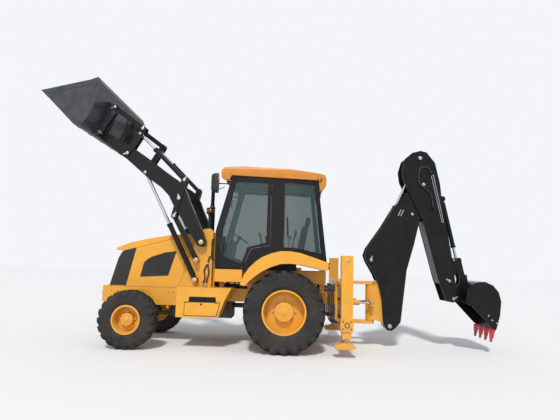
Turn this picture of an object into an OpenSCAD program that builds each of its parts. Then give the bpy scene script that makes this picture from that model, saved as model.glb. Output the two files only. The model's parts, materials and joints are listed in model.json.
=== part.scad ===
// Backhoe loader, full size, millimetres.
// X runs from the nose (negative) to the digging end, Y is the width, Z is up.
// Every piece is drawn from the ground under the rear axle, then put() moves it so that
// the origin lies under the middle of the whole machine.
// Points named with a capital letter are [x, z] places in the side view.

/* [Wheels] */
// Distance between the axles
wheelbase = 2710; // [2660:10:2760]
// Outer radius of a rear tyre
rear_tyre_r = 705; // [690:1:710]
// Width of a rear tyre
rear_tyre_w = 430; // [380:1:440]
// Seat radius of a rear rim
rear_rim_r = 368; // [340:1:390]
// Middle of a rear tyre, from the centre line
rear_wheel_y = 925; // [920:1:940]
// Outer radius of a front tyre
front_tyre_r = 500; // [480:1:505]
// Width of a front tyre
front_tyre_w = 320; // [280:1:330]
// Seat radius of a front rim
front_rim_r = 238; // [220:1:260]
// Middle of a front tyre, from the centre line
front_wheel_y = 920; // [910:1:930]
// Steering pivot, from the centre line
kingpin_y = 690; // [680:1:700]

/* [Chassis] */
// Outer face of the two main rails, from the centre line
rail_out = 415; // [405:1:420]
// Width of a main rail
rail_w = 80; // [60:1:100]
// Height of a main rail
rail_h = 235; // [200:1:240]
// Front end of the chassis, ahead of the front axle
nose_len = 590; // [570:5:620]
// Radius of the rear axle tube
rear_axle_r = 100; // [85:1:105]
// Width of the body over its side panels
body_w = 860; // [850:2:864]
// Thickness of the side panels
panel_t = 15; // [8:1:20]

/* [Loader] */
// Middle of a loader arm, from the centre line
arm_y = 620; // [615:1:630]
// Width of a loader arm
arm_w = 110; // [90:2:116]
// Width of the loader bucket
bucket_w = 2350; // [2200:10:2450]
// Thickness of the bucket plates
bucket_t = 18; // [12:1:25]
// Radius of the large pins
pin_r = 30; // [24:1:34]
// Radial clearance of a pin in its eye
pin_gap = 0.1; // [0.02:0.01:0.1]

/* [Cab] */
// Width of the cab over its sides
cab_w = 1520; // [1480:10:1540]
// Thickness of the cab sides and doors
side_t = 60; // [45:1:70]
// Thickness of the glass
glass_t = 6; // [4:1:10]
// Width over the rear fenders
fender_w = 2240; // [2160:10:2280]
// Thickness of a fender
fender_t = 25; // [12:1:35]

/* [Digging end] */
// Width over the stabiliser legs
frame_w = 2340; // [2300:10:2360]
// Width of the boom
boom_w = 260; // [240:2:270]
// Width of the dipper
dipper_w = 330; // [320:2:340]
// Thickness of the boom and dipper plates
plate_t = 22; // [16:1:24]
// Width of the digging bucket
dig_w = 780; // [600:10:790]
// Middle of the slewing post, behind the rear axle
slew_x = 1640; // [1620:5:1660]

/* [Hidden] */
$fn = 48;
put_x = 265;

// Wheels and chassis
front_x = -wheelbase;
rail_in = rail_out - rail_w;
rail_bottom = rear_tyre_r + rear_axle_r + 5;
rail_top = rail_bottom + rail_h;
nose_x = front_x - nose_len;
rear_x = 950;
panel_y = body_w / 2;
tyre_gap = 0.5;
wheel_face = 40;

// Loader, side view points
T = [-1560, 1880];
L = [-1635, 1550];
S = [-1640, 1190];
A = [-2010, 2680];
C = [-1930, 3030];
B = A + L - T;
E = [-3040, 3520];
G = [-3610, 3930];
D = E + [270, 480];
F = G + [270, 480];
X = E + 0.8 * (D - E);
M = [-2680, 3160];
arm_h = arm_w / 2;
lug_t = 16;
lug_gap = 5;
lug_in = arm_h + lug_gap;
nose_r = 64.3;
lift_turn = 0.8412;
lift_travel = 10.11;
tube_r = 50;
tube = G + [210, -180];
tower_out = arm_y - arm_h - 15;
tower_in = body_w / 2 + 10;

// Cab
cab_y = cab_w / 2;
cab_in = cab_y - side_t;
fender_y = fender_w / 2;
sill_z = 1400;
floor_z = 1180;
fender_top = [[-765, 1160], [-700, 1320], [-620, 1440], [-510, 1550], [-400, 1630],
    [-240, 1700], [-80, 1740], [90, 1740], [260, 1715], [500, 1640], [740, 1560]];
fender_lip = [[735, 1425], [500, 1470], [260, 1515], [90, 1530], [-80, 1520],
    [-240, 1465], [-380, 1395], [-500, 1310], [-610, 1215], [-690, 1130]];
door_gap = 7;

// Digging end, side view points
leg_y = frame_w / 2;
slew_ram_y = 205;
P = [2000, 410];
K = [1800, 1190];
N = [2450, 2560];
R = [1650, 1650];
H = [2670, 3150];
J = [2610, 3680];
U = [3080, 2890];
Q = [3130, 1290];
O = [3200, 960];
V = Q + [200, 400];
W = O + [200, 400];
boom_y = boom_w / 2;
dip_y = dipper_w / 2;

function unit(a, b) = (b - a) / norm(b - a);
function turn(a, b) = atan2(b.y - a.y, b.x - a.x);

// Draws a side view outline as a solid between two places across the width
module side(y0, y1) {
    translate([0, y1, 0]) rotate([90, 0, 0]) linear_extrude(y1 - y0) children();
}

module put() {
    translate([put_x, 0, 0]) children();
}

module both() {
    children();
    mirror([0, 1, 0]) children();
}

module block(x0, x1, y0, y1, z0, z1) {
    translate([x0, y0, z0]) cube([x1 - x0, y1 - y0, z1 - z0]);
}

// Shaft across the width at a side view point
module shaft(p, r, y0, y1) {
    translate([p.x, y0, p.y]) rotate([-90, 0, 0]) cylinder(h = y1 - y0, r = r);
}

// Flat bar with a round end at its far side view point
module limb(a, b, w) {
    translate(b) circle(w / 2);
    translate(a) rotate(turn(a, b)) translate([0, 0.6 - w / 2]) square([norm(b - a), w - 1.2]);
}

module bar(a, b, w) {
    translate(a) circle(w / 2);
    limb(a, b, w);
}

// Sets its children along the line from one point to another, at one place across
module along(a, b, y) {
    translate([a.x, y, a.y]) rotate([0, -turn(a, b), 0]) children();
}

// Cylinder barrel, with an eye at its base and a bore for the rod
module ram_barrel(a, b, y, len, r, rod_r, half, gap = pin_gap) {
    along(a, b, y) difference() {
        union() {
            rotate([90, 0, 0]) cylinder(h = 2 * half, r = pin_r + 22, center = true);
            translate([pin_r + 8, 0, 0]) rotate([0, 90, 0]) cylinder(h = 40, r = min(half, r) - 3);
            translate([pin_r + 38, 0, 0]) rotate([0, 90, 0]) cylinder(h = len - pin_r - 38, r = r);
            translate([len - 40, 0, 0]) rotate([0, 90, 0]) cylinder(h = 40, r = r + 7);
        }
        rotate([90, 0, 0]) cylinder(h = 4 * half, r = pin_r + gap, center = true);
        translate([pin_r + 60, 0, 0]) rotate([0, 90, 0]) cylinder(h = len, r = rod_r + pin_gap);
    }
}

// Piston rod, from inside its barrel to the eye at the far end
module ram_rod(a, b, y, start, rod_r, half) {
    reach = norm(b - a);
    along(a, b, y) {
        translate([start, 0, 0]) rotate([0, 90, 0]) cylinder(h = reach - start - 20, r = rod_r);
        translate([reach, 0, 0]) rotate([90, 0, 0]) cylinder(h = 2 * half, r = pin_r + 18, center = true);
    }
}

module chassis() {
    color("goldenrod") {
        both() {
            block(nose_x, rear_x, rail_in, rail_out, rail_bottom, rail_top);
            outrigger();
            tower();
            cab_mounts();
            leg_tube();
            for (x = [front_x - 150, front_x + 110, -2200])
                block(x, x + 40, rail_in, rail_out, 650, rail_bottom);
        }
        for (x = [front_x - 150, front_x + 110, -2200])
            block(x, x + 40, -rail_out, rail_out, 650, 700);
        difference() {
            block(nose_x - 110, nose_x, -panel_y, panel_y, 740, 1040);
            translate([nose_x - 60, 0, 700]) cylinder(h = 400, r = 20);
        }
        axle_hanger();
        rear_frame();
    }
}

module outrigger() {
    difference() {
        block(-1900, -1160, rail_in, tower_out, 860, rail_top);
        block(-1880, -1180, rail_out + 10, tower_out - 10, 850, rail_top - 20);
    }
}

module tower() {
    difference() {
        side(tower_in, tower_out) polygon([[-1900, rail_top - 1], [-1840, 1260], [-1775, 1600],
            [-1680, 1900], [-1620, 2060], [-1540, 2130], [-1420, 2140], [-1360, 2080],
            [-1360, rail_top - 1]]);
        side(tower_in + 16, tower_out - 16) polygon([[-1830, rail_top + 10], [-1790, 1260],
            [-1730, 1560], [-1640, 1860], [-1560, 2060], [-1440, 2090], [-1400, 2050],
            [-1400, rail_top + 10]]);
    }
    for (p = [T, L, S]) {
        shaft(p, pin_r, tower_out - 2, arm_y + arm_h + 3);
        shaft(p, pin_r + 14, arm_y + arm_h + 3, arm_y + arm_h + 15);
    }
    for (p = [L, S])
        shaft(p, pin_r + 18, tower_out - 2, arm_y - 34);
    shaft(T, pin_r + 50, tower_out - 2, tower_out + 10);
}

module cab_mounts() {
    for (x = [-1230, -700])
        block(x, x + 90, rail_in + 5, rail_out - 5, rail_top - 1, floor_z);
    block(640, 730, rail_in + 5, rail_out - 5, rail_top - 1, floor_z);
}

module axle_hanger() {
    for (x = [front_x - 150, front_x + 110]) difference() {
        block(x, x + 40, -120, 120, front_tyre_r - 70, 651);
        translate([x - 1, 0, front_tyre_r]) rotate([0, 90, 0]) cylinder(h = 42, r = 20);
    }
    translate([front_x - 170, 0, front_tyre_r]) rotate([0, 90, 0]) cylinder(h = 340, r = 30);
}

module rear_frame() {
    block(rear_x - 20, rear_x + 20, -rail_out - 40, rail_out + 40, 450, 1250);
    difference() {
        for (z = [[450, 550], [1150, 1250]])
            block(rear_x, rear_x + 100, -leg_y + 165, leg_y - 165, z[0], z[1]);
        both() translate([rear_x + 50, 900, 440]) cylinder(h = 120, r = 22);
    }
}

module leg_tube() {
    difference() {
        union() {
            block(rear_x + 5, rear_x + 200, leg_y - 170, leg_y, 430, 1690);
            block(rear_x - 5, rear_x + 210, leg_y - 180, leg_y, 430, 640);
        }
        block(rear_x + 20, rear_x + 185, leg_y - 155, leg_y - 15, 420, 1675);
    }
    shaft([rear_x + 110, 1610], 32, leg_y - 2, leg_y + 8);
    shaft([rear_x + 105, 540], 32, leg_y - 2, leg_y + 8);
}

module engine_block() {
    color("dimgray") {
        block(-2950, -2150, -290, 290, 700, 1500);
        block(-2160, -1000, -230, 230, 480, 980);
        translate([-1000, 0, rear_tyre_r]) rotate([0, 90, 0]) cylinder(h = 765, r = 45);
        translate([-2520, -190, front_tyre_r + 40]) rotate([0, 90, 0]) cylinder(h = 370, r = 38);
    }
}

module axles() {
    color("dimgray") {
        difference() {
            union() {
                block(front_x - 70, front_x + 70, -590, 590, front_tyre_r - 60, front_tyre_r + 60);
                translate([front_x - 105, 0, front_tyre_r]) rotate([0, 90, 0])
                    cylinder(h = 210, r = 75);
                translate([front_x + 60, -190, front_tyre_r + 40]) rotate([0, 90, 0])
                    cylinder(h = 130, r = 60);
                both() for (z = [front_tyre_r - 130, front_tyre_r + 90]) {
                    block(front_x - 50, front_x + 50, 560, kingpin_y, z, z + 40);
                    translate([front_x, kingpin_y, z]) cylinder(h = 40, r = 50);
                    block(front_x - 50, front_x + 50, 550, 590, front_tyre_r - 130, front_tyre_r + 130);
                }
            }
            translate([front_x - 106, 0, front_tyre_r]) rotate([0, 90, 0])
                cylinder(h = 300, r = 30 + pin_gap);
        }
        both() {
            translate([front_x, kingpin_y, front_tyre_r - 91]) cylinder(h = 182, r = 22);
            shaft([0, rear_tyre_r], rear_axle_r, 0, 560);
            shaft([0, rear_tyre_r], 190, 560, 670);
            shaft([0, rear_tyre_r], 90, 669, rear_wheel_y + 55);
            block(-70, 70, rail_in, rail_out, rear_tyre_r + 60, rail_bottom);
        }
        translate([0, 0, rear_tyre_r]) sphere(220);
        translate([-235, 0, rear_tyre_r]) rotate([0, 90, 0]) cylinder(h = 100, r = 85);
    }
}

module side_panels() {
    color("goldenrod") side(-panel_y, panel_y) polygon([[-1980, 1936], [-1980, 2030], [-1650, 2052],
        [-1320, 2052], [-1320, 1985]]);
    color("goldenrod") both() difference() {
        side(panel_y - panel_t, panel_y) polygon([[nose_x, rail_top], [-2980, rail_top], [-2828, 1752],
            [-2200, 1920], [-1320, 1985], [-1320, rail_top], [-1900, rail_top], [-1900, 710],
            [-2400, 710], [-2480, 850], [-2570, 945], [-2700, 980], [-2860, 960], [-2960, 890],
            [-3010, 820], [nose_x, 820]]);
        side(panel_y - panel_t - 1, panel_y + 1) vent_outline();
    }
}

// Side air vent behind the wheel, with its curved top
module vent_outline() {
    polygon([[-2725, 1210], [-2195, 1245], [-2060, 1712], [-2270, 1678], [-2510, 1600],
        [-2600, 1548], [-2670, 1480]]);
}

module grilles() {
    color("black") {
        difference() {
            side(-panel_y, panel_y) polygon([[-3290, rail_top], [-2980, rail_top],
                [-2828, 1752], [-3090, 1680], [-3160, 1550]]);
            side(-panel_y + panel_t, panel_y - panel_t) polygon([[-3250, 1001], [-2940, 1001],
                [-2790, 1780], [-3070, 1660], [-3120, 1550]]);
            for (z = [1080:60:1500])
                block(-3400, -3000, -panel_y + 50, panel_y - 50, z, z + 28);
        }
        both() difference() {
            side(panel_y - panel_t, panel_y - 5) vent_outline();
            for (z = [1290:50:1640])
                block(-2560, -2180, panel_y - panel_t - 1, panel_y, z, z + 18);
        }
    }
}

module side_boxes() {
    color("goldenrod") both() {
        difference() {
            side(tower_out - 60, 950) polygon([[-1880, 860], [-1880, 560], [-1150, 560],
                [-1040, 860]]);
            block(-1660, -1190, 900, 960, 830, 850);
        }
        side(tower_out, 950) polygon([[-1880, 850], [-1043, 850], [-930, 1075], [-1880, 1075]]);
    }
}

module cab_floor() {
    color("goldenrod") {
        block(-1265, -775, -cab_y, cab_y, floor_z, sill_z);
        block(-775, 735, -600, 600, floor_z, floor_z + 60);
        both() block(-775, 735, 600, 640, floor_z, 1400);
        block(695, 735, -600, 600, floor_z + 60, 1655);
        block(-180, 300, -330, 330, floor_z + 60, 1460);
    }
}

// Arched fender over a rear wheel, with a deep outer lip
module fenders() {
    under = [for (i = [10:-1:0]) fender_top[i] + [i > 7 ? -3 : 12, -fender_t]];
    color("goldenrod") both() {
        side(640, fender_y - 15) polygon(concat(fender_top, under));
        side(fender_y - 16, fender_y) polygon(concat(fender_top, fender_lip));
    }
}

cab_outline = concat([[-1270, sill_z], [-1285, 2080], [-1020, 3120], [560, 3060]],
    [for (i = [10:-1:1]) fender_top[i]], [[-774, sill_z]]);
door_outline = [[-1225, 1425], [-790, 1425], [-620, 1780], [-285, 1850], [-285, 3060],
    [-985, 3085], [-1235, 2080]];
quarter_outline = [[-60, 1820], [250, 1800], [640, 1720], [500, 2985], [-60, 3020]];

module cab_frame() {
    color("black") {
        both() difference() {
            side(cab_in, cab_y) polygon(cab_outline);
            side(cab_in - 1, cab_y + 1) polygon(door_outline);
            side(cab_in - 1, cab_y + 1) polygon(quarter_outline);
        }
        side(-cab_in, cab_in) polygon([[-1040, 3040], [-1020, 3120], [-900, 3115], [-900, 3060]]);
        side(-cab_in, cab_in) polygon([[440, 2990], [440, 3064], [560, 3060], [568, 2990]]);
        side(-cab_in, cab_in) polygon([[-1270, sill_z], [-1272, 1500], [-1230, 1500],
            [-1230, sill_z]]);
        side(-cab_in, cab_in) polygon([[700, 1655], [700, 1760], [716, 1760], [728, 1655]]);
    }
}

roof_outline = [[-1020, 3120], [560, 3060], [567, 3060], [590, 2895], [650, 2890], [705, 2960], [712, 3090],
    [680, 3155], [530, 3195], [50, 3270], [-840, 3305], [-1180, 3280], [-1225, 3210],
    [-1215, 3080], [-1150, 3050], [-1060, 3050], [-1030, 3120]];

module cab_roof() {
    color("orange") difference() {
        side(-800, 800) polygon(roof_outline);
        side(-560, 560) polygon([[-1300, 3000], [-1300, 3130], [-1080, 3130], [-1080, 3000]]);
        side(-560, 560) polygon([[590, 2880], [590, 3030], [760, 3030], [760, 2880]]);
        both() rotate([90, 0, 90]) translate([0, 0, -1300]) linear_extrude(2100)
            polygon([[700, 3400], [900, 3400], [900, 3100], [790, 3180], [740, 3250]]);
    }
}

module cab_glass() {
    color("lightblue", 0.4) {
        side(-cab_in, cab_in) polygon([[-1272, 1500], [-1281, 2080], [-1040, 3040],
            [-1040 + glass_t, 3040], [-1281 + glass_t, 2080], [-1272 + glass_t, 1500]]);
        side(-cab_in, cab_in) polygon([[714, 1760], [714 - glass_t, 1760], [566 - glass_t, 2990],
            [566, 2990]]);
        both() side(cab_y - 30 - glass_t, cab_y - 30) polygon(quarter_outline);
    }
}

module door(s) {
    color("black") scale([1, s, 1]) difference() {
        side(cab_in + 10, cab_y) offset_outline(door_outline, door_gap);
        side(cab_in, cab_y + 1) door_window();
    }
}

// The door's outline, drawn in by its clearance
module offset_outline(points, gap) {
    c = [-800, 2300];
    polygon([for (p = points) p + gap * [sign(c.x - p.x), sign(c.y - p.y)]]);
}

module door_window() {
    polygon([[-1150, 1640], [-800, 1500], [-690, 1800], [-350, 1900], [-350, 3000], [-950, 3020],
        [-1165, 2100]]);
}

module door_glass(s) {
    color("lightblue", 0.4) scale([1, s, 1])
        side(cab_y - 30 - glass_t, cab_y - 30) door_window();
}

module console() {
    color("dimgray") {
        block(-1220, -1040, -260, 260, sill_z, 1900);
        translate([-1080, 0, 1760]) rotate([0, 30, 0]) cylinder(h = 282, r = 30);
        translate([-940, 0, 2002]) rotate([0, 30, 0]) {
            difference() {
                cylinder(h = 28, r = 210);
                translate([0, 0, -1]) cylinder(h = 40, r = 184);
            }
            block(-190, 190, -20, 20, 5, 22);
            block(-20, 20, -190, 190, 5, 22);
        }
        both() block(-600, 200, 480, 599, floor_z + 60, 1800);
    }
}

module seat() {
    color("dimgray") {
        translate([60, 0, 1461]) cylinder(h = 90, r = 110);
        block(-210, 300, -240, 240, 1550, 1680);
        side(-230, 230) polygon([[200, 1680], [310, 1680], [430, 2280], [340, 2300]]);
        side(-130, 130) polygon([[345, 2290], [428, 2272], [470, 2450], [390, 2460]]);
    }
}

module lamps() {
    color("white") {
        for (y = [-470, -330, 330, 470])
            block(-1200, -1080, y - 60, y + 60, 3040, 3130);
        for (y = [-470, -330, 330, 470])
            block(590, 690, y - 60, y + 60, 2925, 3030);
        both() translate([nose_x - 130, 330, 900]) rotate([0, 90, 0]) cylinder(h = 20, r = 75);
        both() block(740, 762, 960, 1090, 1450, 1560);
    }
}

module mirrors() {
    color("black") both() {
        block(-1290, -1240, 860, 1030, 2760, 3110);
        translate([-1265, 770, 2960]) rotate([-90, 0, 0]) cylinder(h = 100, r = 12);
        block(-1277, -1035, 760, 785, 2950, 2970);
    }
}

module stacks() {
    color("black") {
        translate([-1560, 290, 2052]) cylinder(h = 650, r = 55);
        translate([-1560, 290, 2701]) cylinder(h = 380, r = 38);
        translate([-1560, 100, 2052]) cylinder(h = 430, r = 38);
        translate([-1560, 100, 2481]) cylinder(h = 140, r = 78);
    }
}

module bonnet() {
    color("orange") difference() {
        side(-panel_y, panel_y) polygon([[-3220, 1700], [-3180, 1755], [-2950, 1850], [-2570, 1940],
            [-2200, 2005], [-1990, 2030], [-1990, 1945], [-2200, 1926], [-2828, 1758],
            [-3088, 1690]]);
        side(-panel_y + 20, panel_y - 20) polygon([[-3140, 1600], [-3140, 1710], [-2950, 1810],
            [-2570, 1905], [-2200, 1975], [-2010, 2000], [-2010, 1800]]);
    }
}

module knuckle(s) {
    x = front_x;
    z = front_tyre_r;
    color("dimgray") scale([1, s, 1]) difference() {
        union() {
            translate([x, kingpin_y, z - 88]) cylinder(h = 176, r = 55);
            shaft([x, z], 75, kingpin_y + 20, 790);
            shaft([x, z], 45, 789, front_wheel_y + 55);
            block(x + 40, x + 150, kingpin_y - 30, kingpin_y + 20, z - 70, z - 40);
        }
        translate([x, kingpin_y, z - 100]) cylinder(h = 200, r = 22 + pin_gap);
    }
}

// Rim half profile: radius against width, turned about the wheel's axle
module rim(x, z, yc, r, w, disc, s, stub) {
    color("goldenrod") translate([x, s * yc, z]) rotate([-90, 0, 0]) scale([1, 1, s])
        difference() {
            rotate_extrude() polygon([[stub, disc - 20], [r * 0.55, disc - 20],
                [r - 45, -w * 0.2], [r - 16, -w * 0.42], [r + 12, -w * 0.42], [r + 12, -w * 0.38],
                [r - 2, -w * 0.37], [r - 14, -w * 0.1], [r - 14, w * 0.1], [r - 2, w * 0.37],
                [r + 12, w * 0.38], [r + 12, w * 0.42], [r - 16, w * 0.42], [r - 30, w * 0.12],
                [r - 30, -w * 0.1], [r * 0.6, disc], [r * 0.46, disc + 4], [r * 0.44, disc + 90],
                [r * 0.2, disc + 98], [0, disc + 98], [0, disc + 80], [stub, disc + 80]]);
            for (a = [0:45:315])
                rotate([0, 0, a]) translate([r * 0.52, 0, disc - 60]) cylinder(h = 120, r = 12);
        }
}

// Tyre turned about its axle, out to the tips of its lugs
module tyre(x, z, yc, r, w, rim_r) {
    color("black") translate([x, yc, z]) rotate([-90, 0, 0]) rotate_extrude()
        polygon([[rim_r + 13, -w * 0.36], [rim_r + 60, -w * 0.46], [r - 120, -w * 0.5],
            [r - 45, -w * 0.49], [r, -w * 0.36], [r, w * 0.36], [r - 45, w * 0.49],
            [r - 120, w * 0.5], [rim_r + 60, w * 0.46], [rim_r + 13, w * 0.36],
            [rim_r - 2 - 4 / 9, w * 0.36], [rim_r - 14, w * 0.1],
            [rim_r - 14, -w * 0.1], [rim_r - 2 - 4 / 9, -w * 0.36]]);
}

arm_outline = [[-1480, 1840], [-1470, 1900], [-1500, 1960], [-1530, 2050], [-1822, 2660],
    [-1870, 2790], [-1960, 2940], [-2060, 3030], [-2180, 3100], [-2520, 3350], [-2880, 3590],
    G + [34, 54], G + [-38, -51], [-3540, 3755],
    [-3110, 3460], [-2640, 3070], [-2360, 2880], [-2200, 2720], [-2090, 2520], [-1655, 1860],
    [-1630, 1820], [-1570, 1795], [-1510, 1800]];

// Turns a side view point about another one
function turned(p, c, a) = c + [(p.x - c.x) * cos(a) - (p.y - c.y) * sin(a),
    (p.x - c.x) * sin(a) + (p.y - c.y) * cos(a)];

// Where the lift rod's eye lies against a raised arm once both are lowered by some degrees
function lift_eye(low) = turned(S + (norm(M - S) - lift_travel * low)
    * [cos(turn(S, M) + lift_turn * low), sin(turn(S, M) + lift_turn * low)], T, -low);
function lift_way(low) = unit(lift_eye(low), turned(S, T, -low));

module loader_arms() {
    color("black") {
        both() {
            difference() {
                side(arm_y - arm_h, arm_y + arm_h) {
                    polygon(arm_outline);
                    translate(G) circle(nose_r);
                }
                shaft(T, pin_r + pin_gap, 0, 900);
                side(arm_y - 35, arm_y + 35) {
                    for (low = [0:10:80])
                        bar(lift_eye(low), lift_eye(low) + 330 * lift_way(low), 118);
                    bar(C, E + norm(X - E) * [cos(131), sin(131)], 112);
                }
            }
            for (p = [A, E, G])
                shaft(p, pin_r, arm_y - lug_in - lug_t - 4, arm_y + lug_in + lug_t + 4);
            shaft(A, pin_r + 14, arm_y + lug_in + lug_t + 3, arm_y + lug_in + lug_t + 11);
            for (y = [arm_y - arm_h - 6, arm_y + arm_h - 1])
                shaft(M, pin_r + 8, y, y + 7);
            tilt_bracket();
        }
        shaft(tube, tube_r, -arm_y, arm_y);
    }
}

// Bracket on the knee of an arm that carries the base of the tilt cylinder
module tilt_bracket() {
    for (y = [arm_y - arm_h, arm_y + arm_h - lug_t])
        side(y, y + lug_t) bar(C, C + [-30, -120], 120);
    shaft(C, pin_r, arm_y - arm_h, arm_y + arm_h);
}

module lift_barrels() {
    color("black") both() ram_barrel(S, M, arm_y, 1150, 48, 30, 28);
}

module lift_rods() {
    color("silver") both() ram_rod(S, M, arm_y, 1010, 30, 28);
}

// Lever pair that keeps the tilt cylinder level as the arms rise
module level_levers() {
    color("black") both() for (y = [arm_y - lug_in - lug_t, arm_y + lug_in]) difference() {
        side(y, y + lug_t) {
            bar(A, C, 110);
            limb(A, B, 104);
        }
        shaft(A, pin_r + pin_gap, 0, 900);
    }
}

module level_links() {
    color("black") both() {
        difference() {
            side(arm_y - 28, arm_y + 28) bar(L, B, 90);
            shaft(L, pin_r + pin_gap, 0, 900);
        }
        shaft(B, pin_r - 4, arm_y - arm_h, arm_y + arm_h);
    }
}

module tilt_barrels() {
    color("black") both() ram_barrel(C, X, arm_y, 850, 42, 26, 28);
}

module tilt_rods() {
    color("silver") both() ram_rod(C, X, arm_y, 365, 26, 28);
}

module tilt_levers() {
    color("black") both() {
        difference() {
            for (y = [arm_y - lug_in - lug_t, arm_y + lug_in])
                side(y, y + lug_t) bar(E, D, 110);
            shaft(E, pin_r + pin_gap, 0, 900);
        }
        for (y = [arm_y - lug_in - 2 * lug_t - 8, arm_y + lug_in + lug_t - 1])
            shaft(D, pin_r, y, y + lug_t + 9);
    }
}

module tilt_links() {
    y_in = arm_y - lug_in - 2 * lug_t - 3;
    y_out = arm_y + lug_in + lug_t + 3;
    color("black") both() for (y = [y_in, y_out]) difference() {
        side(y, y + lug_t) bar(D, F, 90);
        shaft(D, pin_r + pin_gap, 0, 900);
        shaft(F, pin_r + pin_gap, 0, 900);
    }
}

bucket_outer = [[-4510, 4530], [-4470, 4500], [-3860, 3905], [-3800, 3870], [-3740, 3880],
    [-3640, 4010], [-3560, 4160], [-3500, 4330], [-3455, 4600], [-3430, 4700], [-3480, 4800]];
bucket_side = concat(bucket_outer, [[-3620, 4745]]);

module loader_bucket() {
    color("dimgray") {
        difference() {
            side(-bucket_w / 2, bucket_w / 2) polygon(bucket_side);
            side(-bucket_w / 2 + bucket_t, bucket_w / 2 - bucket_t) polygon([[-4600, 4600],
                [-3858, 3930], [-3803, 3893], [-3755, 3902], [-3660, 4022], [-3582, 4168],
                [-3522, 4334], [-3478, 4604], [-3456, 4700], [-3500, 4810], [-3900, 5000]]);
        }
        both() for (y = [arm_y - lug_in - lug_t, arm_y + lug_in]) difference() {
            side(y, y + lug_t) polygon([G + [60, -50], G + [80, 40], F + [55, -10], F + [40, 50],
                F + [-20, 60], [-3470, 4520], [-3505, 4335], [-3565, 4162], [-3645, 4012],
                [-3745, 3882], G + [0, -70]]);
            shaft(G, pin_r + pin_gap, 0, 900);
        }
        both() {
            y_in = arm_y - lug_in - 2 * lug_t - 6;
            y_out = arm_y + lug_in + lug_t - 1;
            for (y = [y_in, y_out])
                shaft(F, pin_r, y, y + lug_t + 7);
        }
    }
}

module leg(s) {
    color("goldenrod") scale([1, s, 1]) {
        difference() {
            block(rear_x + 25, rear_x + 180, leg_y - 150, leg_y - 20, 310, 1500);
            block(rear_x + 37, rear_x + 168, leg_y - 138, leg_y - 32, 400, 1510);
        }
        block(rear_x + 60, rear_x + 145, leg_y - 115, leg_y - 55, 250, 311);
        side(leg_y - 190, leg_y + 10) polygon([[rear_x - 110, 215], [rear_x - 60, 150],
            [rear_x + 220, 150], [rear_x + 260, 185], [rear_x + 150, 255], [rear_x + 50, 255]]);
    }
}

module carriage() {
    x0 = rear_x + 102;
    color("goldenrod") {
        difference() {
            union() {
                block(x0, x0 + 40, -290, 290, 430, 1270);
                block(rear_x + 25, x0 + 1, -290, 290, 1252, 1270);
                block(rear_x + 25, x0 + 1, -290, 290, 430, 448);
                for (z = [440, 1180]) {
                    block(x0 + 39, slew_x, -85, 85, z, z + 60);
                    translate([slew_x, 0, z]) cylinder(h = 60, r = 85);
                }
                both() {
                    block(x0 + 39, x0 + 160, 130, 150, 500, 1180);
                    translate([rear_x + 35, slew_ram_y, 840]) rotate([0, 90, 0])
                        cylinder(h = 427, r = 48);
                }
            }
            translate([slew_x, 0, 400]) cylinder(h = 900, r = 40 + pin_gap);
            both() translate([rear_x + 50, slew_ram_y, 840]) rotate([0, 90, 0])
                cylinder(h = 445, r = 20 + pin_gap);
        }
    }
}

module slew_post() {
    color("goldenrod") {
        difference() {
            union() {
                translate([slew_x, 0, 505]) cylinder(h = 670, r = 78);
                side(-85, 85) polygon([[slew_x, 510], [slew_x, 1170], [1735, 1170], [1740, 1262],
                    [1850, 1262], [1885, 1150], [1890, 900], [1930, 520], [P.x + 50, 470],
                    [P.x + 70, 400], [P.x + 20, 345], [P.x - 60, 350], [1850, 480], [1735, 508]]);
                both() side(80, 95) bar(P, P + [-60, 60], 130);
            }
            side(-63, 63) {
                translate(K) circle(60);
                polygon([K + [-50, 15], K + [-20, 200], K + [300, 200], K + [300, -190], K + [-10, -62]]);
            }
            shaft(P, pin_r + pin_gap, -200, 200);
        }
        shaft(K, pin_r, -84, 84);
        translate([slew_x, 0, 435]) cylinder(h = 810, r = 40);
        both() for (z = [790, 868])
            block(slew_x - 40, slew_x + 40, 70, 250, z, z + 22);
    }
}

module slew_rod(s) {
    x0 = rear_x + 250;
    color("silver") {
        translate([x0, slew_ram_y * s, 840]) rotate([0, 90, 0]) cylinder(h = slew_x - x0 - 20, r = 20);
        translate([slew_x, slew_ram_y * s, 817]) cylinder(h = 46, r = 36);
    }
}

boom_outline = [[1870, 560], [1885, 430], [1950, 335], [2030, 325], [2110, 380], [2205, 490],
    [2330, 1470], [2480, 1980], [2570, 2350], [2700, 2800], [2800, 3120], [2775, 3220],
    [2700, 3270], [2600, 3250], [2350, 3010], [2110, 2710], [1870, 2310], [1570, 1880],
    [1520, 1740], [1560, 1620], [1700, 1380], [1790, 1180], [1850, 900]];

module boom() {
    color("black") {
        difference() {
            union() {
                both() side(boom_y - plate_t, boom_y) polygon(boom_outline);
                side(-boom_y + plate_t - 1, boom_y - plate_t + 1) polygon([[2245, 850],
                    [2328, 1470], [2478, 1980], [2548, 2270], [2528, 2276], [2458, 1986],
                    [2308, 1474], [2225, 854]]);
                side(-boom_y + plate_t - 1, boom_y - plate_t + 1) bar([2560, 2960], H, 96);
            }
            shaft(H, pin_r + pin_gap, -300, 300);
        }
        shaft(P, pin_r, -boom_y - 8, boom_y + 8);
        both() shaft(P, pin_r + 16, boom_y - 1, boom_y + 12);
        shaft(R, pin_r, -boom_y, boom_y);
        both() shaft(R, pin_r + 12, boom_y - 1, boom_y + 8);
        both() shaft(N, pin_r + 8, boom_y - 1, boom_y + 8);
        both() shaft(N, pin_r + 20, 36, boom_y - plate_t + 1);
        both() shaft(R, pin_r + 20, 36, boom_y - plate_t + 1);
    }
}

module boom_barrel() {
    color("black") ram_barrel(K, N, 0, 1200, 52, 32, 55);
}

module boom_rod() {
    color("silver") ram_rod(K, N, 0, 200, 32, 28);
}

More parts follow.
